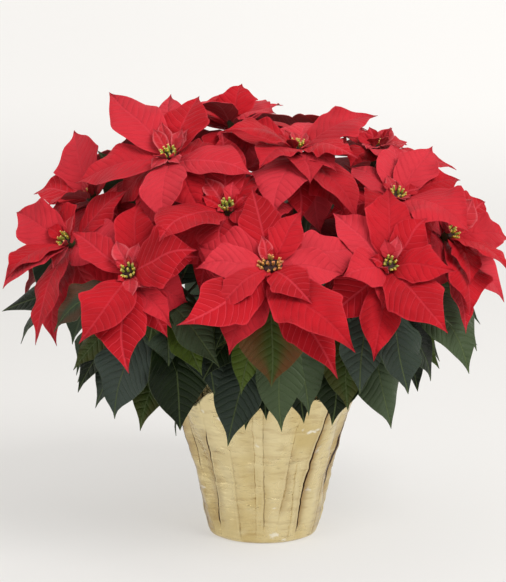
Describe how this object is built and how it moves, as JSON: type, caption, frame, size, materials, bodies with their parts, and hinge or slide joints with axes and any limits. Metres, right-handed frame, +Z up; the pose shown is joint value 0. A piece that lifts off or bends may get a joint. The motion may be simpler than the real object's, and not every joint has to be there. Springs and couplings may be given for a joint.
{
  "type": "potted poinsettia",
  "caption": "Potted red poinsettia: a dome of star-shaped red blooms over dark green leaves, in a tapered pot wrapped in pleated gold foil.",
  "frame": {"origin": "centre of the foil wrap's flat base, on the surface that the pot stands on", "axes": "+Z up, -Y towards the viewer of the picture, +X to the picture's right"},
  "size_m": [0.5482, 0.5619, 0.4957],
  "materials": {
    "foil": "gloss",
    "pot": "matte",
    "soil": "matte",
    "foliage": "satin",
    "bracts": "matte",
    "cyathia": "satin"
  },
  "bodies": {
    "root": {"foil_wrap": "foil", "grower_pot": "pot", "soil": "soil", "plant_left": "foliage", "plant_right": "foliage", "plant_back": "foliage", "bloom_01_bracts": "bracts", "bloom_02_bracts": "bracts", "bloom_03_bracts": "bracts", "bloom_04_bracts": "bracts", "bloom_05_bracts": "bracts", "bloom_06_bracts": "bracts", "bloom_07_bracts": "bracts", "bloom_08_bracts": "bracts", "bloom_09_bracts": "bracts", "bloom_10_bracts": "bracts", "bloom_11_bracts": "bracts", "bloom_12_bracts": "bracts", "bloom_13_bracts": "bracts", "bloom_14_bracts": "bracts", "bloom_15_bracts": "bracts", "bloom_16_bracts": "bracts", "bloom_17_bracts": "bracts", "bloom_18_bracts": "bracts", "bloom_19_bracts": "bracts", "bloom_01_cyathia": "cyathia", "bloom_02_cyathia": "cyathia", "bloom_03_cyathia": "cyathia", "bloom_04_cyathia": "cyathia", "bloom_05_cyathia": "cyathia", "bloom_06_cyathia": "cyathia", "bloom_07_cyathia": "cyathia", "bloom_08_cyathia": "cyathia", "bloom_09_cyathia": "cyathia", "bloom_10_cyathia": "cyathia", "bloom_11_cyathia": "cyathia", "bloom_12_cyathia": "cyathia", "bloom_13_cyathia": "cyathia", "bloom_14_cyathia": "cyathia", "bloom_15_cyathia": "cyathia", "bloom_16_cyathia": "cyathia", "bloom_17_cyathia": "cyathia", "bloom_18_cyathia": "cyathia", "bloom_19_cyathia": "cyathia", "bloom_20_bracts": "bracts", "bloom_20_cyathia": "cyathia"}
  },
  "joints": []
}
